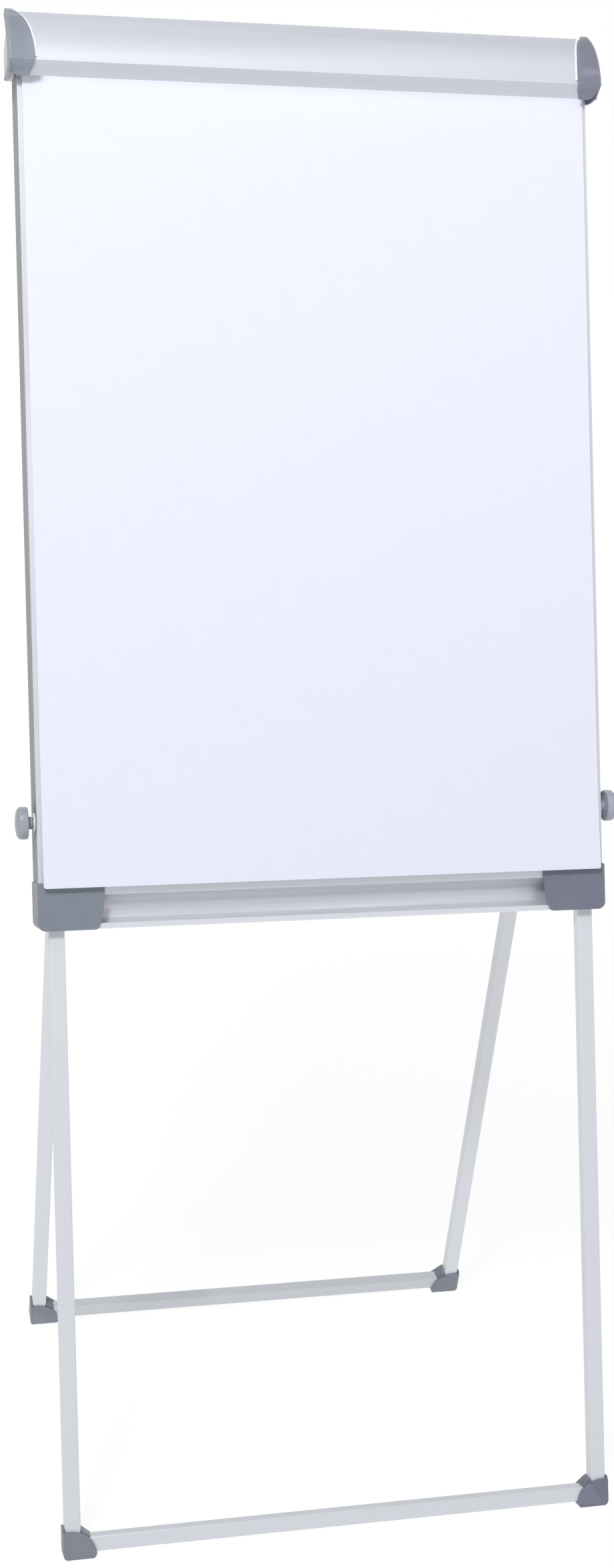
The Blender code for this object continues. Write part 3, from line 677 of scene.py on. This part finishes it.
# ------------------------------------------------------------------ studio
def stage_floor():
    bm = bmesh.new()
    rings, seg = [0.0, 1.0, 2.0, 4.0, 8.0, 16.0, 40.0, 90.0], 64
    last = None
    for r in rings:
        if r == 0:
            ring = [bm.verts.new((0, 0, 0))]
        else:
            ring = [bm.verts.new((r * math.cos(2 * math.pi * i / seg),
                                  r * math.sin(2 * math.pi * i / seg), 0))
                    for i in range(seg)]
        if last is not None:
            for i in range(seg):
                j = (i + 1) % seg
                if len(last) == 1:
                    bm.faces.new((last[0], ring[i], ring[j]))
                else:
                    bm.faces.new((last[i], ring[i], ring[j], last[j]))
        last = ring
    me = bpy.data.meshes.new("studio_floor")
    bm.to_mesh(me)
    bm.free()
    ob = bpy.data.objects.new("studio_floor", me)
    bpy.context.scene.collection.objects.link(ob)
    ob.location.z = -0.0006
    m = bpy.data.materials.new("studio_floor")
    m.use_nodes = True
    nt = m.node_tree
    b = nt.nodes["Principled BSDF"]
    b.inputs["Base Color"].default_value = (0.9, 0.9, 0.91, 1)
    b.inputs["Roughness"].default_value = 0.8
    b.inputs["Specular IOR Level"].default_value = 0.1
    glow = nt.nodes.new("ShaderNodeEmission")
    glow.inputs["Color"].default_value = (1, 1, 1, 1)
    glow.inputs["Strength"].default_value = 1.06
    mix = nt.nodes.new("ShaderNodeMixShader")
    geo = nt.nodes.new("ShaderNodeTexCoord")
    ln = nt.nodes.new("ShaderNodeVectorMath")
    ln.operation = "LENGTH"
    rg = nt.nodes.new("ShaderNodeMapRange")
    rg.inputs["From Min"].default_value = 1.0
    rg.inputs["From Max"].default_value = 5.0
    rg.inputs["To Min"].default_value = 0.87
    rg.inputs["To Max"].default_value = 1.0
    nt.links.new(geo.outputs["Object"], ln.inputs[0])
    nt.links.new(ln.outputs["Value"], rg.inputs["Value"])
    nt.links.new(rg.outputs["Result"], mix.inputs["Fac"])
    nt.links.new(b.outputs[0], mix.inputs[1])
    nt.links.new(glow.outputs[0], mix.inputs[2])
    nt.links.new(mix.outputs[0], nt.nodes["Material Output"].inputs["Surface"])
    me.materials.append(m)


def area(name, at, to, size, power, color):
    li = bpy.data.lights.new(name, "AREA")
    li.shape = "RECTANGLE"
    li.size, li.size_y = size
    li.energy = power
    li.color = color
    ob = bpy.data.objects.new(name, li)
    bpy.context.scene.collection.objects.link(ob)
    ob.location = at
    ob.rotation_euler = (Vector(to) - Vector(at)).to_track_quat("-Z", "Y").to_euler()
    return ob


def no_shadow_of(light, names):
    """Pieces this lamp shines past, so the paper below the bar stays evenly lit."""
    col = bpy.data.collections.new(light.name + "_skips")
    for n in names:
        if n in bpy.data.objects:
            col.objects.link(bpy.data.objects[n])
    for c in col.collection_objects:
        c.light_linking.link_state = "EXCLUDE"
    light.light_linking.blocker_collection = col


def world():
    w = bpy.data.worlds.new("studio")
    bpy.context.scene.world = w
    w.use_nodes = True
    nt = w.node_tree
    bg = nt.nodes["Background"]
    bg.inputs["Color"].default_value = (1, 1, 1, 1)
    path = nt.nodes.new("ShaderNodeLightPath")
    seen = nt.nodes.new("ShaderNodeMath")
    seen.operation = "MAXIMUM"
    nt.links.new(path.outputs["Is Camera Ray"], seen.inputs[0])
    gl = nt.nodes.new("ShaderNodeMath")
    gl.operation = "MULTIPLY"
    gl.inputs[1].default_value = 0.72
    nt.links.new(path.outputs["Is Glossy Ray"], gl.inputs[0])
    nt.links.new(gl.outputs[0], seen.inputs[1])
    low = nt.nodes.new("ShaderNodeMath")
    low.operation = "MAXIMUM"
    low.inputs[1].default_value = 0.24
    nt.links.new(seen.outputs[0], low.inputs[0])
    nt.links.new(low.outputs[0], bg.inputs["Strength"])


stage_floor()
world()
KEY = area("key_left", (-1.9, -3.3, 5.1), (0, 0, 0.85), (0.9, 0.9), 186, (0.98, 0.99, 1.0))
TOP = area("top_soft", (-0.9, -1.7, 5.6), (0, 0, 1.0), (4.2, 2.2), 36, (0.99, 0.995, 1.0))
area("fill_right", (3.2, -1.6, 1.8), (0, 0, 0.9), (1.6, 2.4), 13, (0.97, 0.95, 1.0))
area("back_soft", (0.6, 3.0, 2.6), (0, 0.1, 0.8), (2.2, 1.6), 14, (1, 1, 1))
for lamp in (KEY, TOP):
    no_shadow_of(lamp, ["clamp_bar_finished", "clamp_strip"])
vs = bpy.context.scene.view_settings
vs.view_transform = "Standard"
vs.look = "None"
